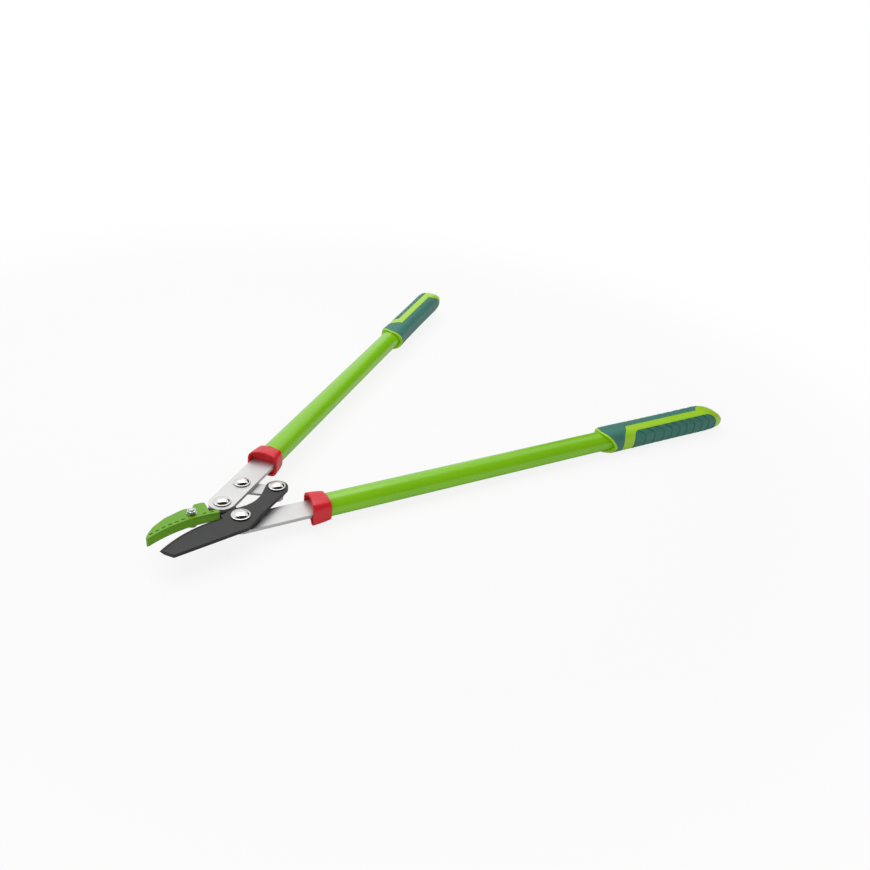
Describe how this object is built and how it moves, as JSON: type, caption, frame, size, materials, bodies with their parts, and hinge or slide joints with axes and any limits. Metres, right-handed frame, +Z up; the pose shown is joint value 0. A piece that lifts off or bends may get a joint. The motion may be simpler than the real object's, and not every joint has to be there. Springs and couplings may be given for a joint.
{
  "type": "anvil lopper",
  "caption": "Anvil lopper with a compound lever: a ground blade closes on a curved slotted anvil between two long tube handles with soft grips.",
  "frame": {"origin": "on the axis of the blade pivot, at the flat end of that bolt's tail", "axes": "+X along the fixed lower handle from the pivot to its grip, +Y towards the upper handle, +Z up along the pivots towards their domed heads"},
  "size_m": [0.735, 0.5022, 0.0389],
  "materials": {
    "bar_steel": "flat steel bar, zinc plated, satin",
    "polished_steel": "domed pivot heads, nickel bright",
    "zinc_steel": "zinc plated fasteners",
    "coated_blade": "dark grey non-stick coating, matt",
    "black_steel": "black coated steel plate",
    "green_sheet": "green coated sheet steel, semi-gloss",
    "lime_tube": "lime powder coat, glossy",
    "red_plastic": "moulded red plastic",
    "dark_plastic": "moulded plug, hidden",
    "lime_plastic": "moulded lime plastic core",
    "teal_rubber": "moulded soft grip rubber"
  },
  "bodies": {
    "fixed_handle": {"anvil": "green_sheet", "anvil_nut": "zinc_steel", "anvil_screw": "zinc_steel", "anvil_spacer": "zinc_steel", "anvil_washer": "zinc_steel", "blade_pivot_bolt": "polished_steel", "blade_pivot_nut": "zinc_steel", "handle_pivot_bolt": "polished_steel", "handle_pivot_nut": "zinc_steel", "jaw_plate": "black_steel", "jaw_plate_rivet": "zinc_steel", "lower_bar": "bar_steel", "lower_collar": "red_plastic", "lower_grip_core": "lime_plastic", "lower_grip_pad": "teal_rubber", "lower_grip_sleeve": "teal_rubber", "lower_tang_pin": "zinc_steel", "lower_tube": "lime_tube", "lower_tube_plug": "dark_plastic"},
    "moving_handle": {"link_rivet": "polished_steel", "link_rivet_washer": "zinc_steel", "upper_bar": "bar_steel", "upper_collar": "red_plastic", "upper_grip_core": "lime_plastic", "upper_grip_pad": "teal_rubber", "upper_grip_sleeve": "teal_rubber", "upper_tang_pin": "zinc_steel", "upper_tube": "lime_tube", "upper_tube_plug": "dark_plastic"},
    "cutting_blade": {"arm_pivot_bolt": "polished_steel", "arm_pivot_nut": "zinc_steel", "arm_pivot_washer": "zinc_steel", "blade": "coated_blade"},
    "drive_link": {"link": "bar_steel"}
  },
  "joints": [
    {"name": "handle_hinge", "type": "hinge", "parent": "fixed_handle", "child": "moving_handle", "pos_m": [-0.009, 0.0273, 0.0146], "axis": [0, 0, 1], "range_deg": [-18, 45]},
    {"name": "blade_hinge", "type": "hinge", "parent": "fixed_handle", "child": "cutting_blade", "pos_m": [0, 0, 0.0146], "axis": [0, 0, 1], "range_deg": [-11.96, 29.89]},
    {"name": "link_hinge", "type": "hinge", "parent": "moving_handle", "child": "drive_link", "pos_m": [0.01904, 0.0522, 0.0105], "axis": [0, 0, 1], "range_deg": [-34.7, 13.9]}
  ],
  "couplings": [
    {"joint": "blade_hinge", "follows": "handle_hinge", "ratio": 0.664},
    {"joint": "link_hinge", "follows": "handle_hinge", "ratio": -0.77}
  ]
}
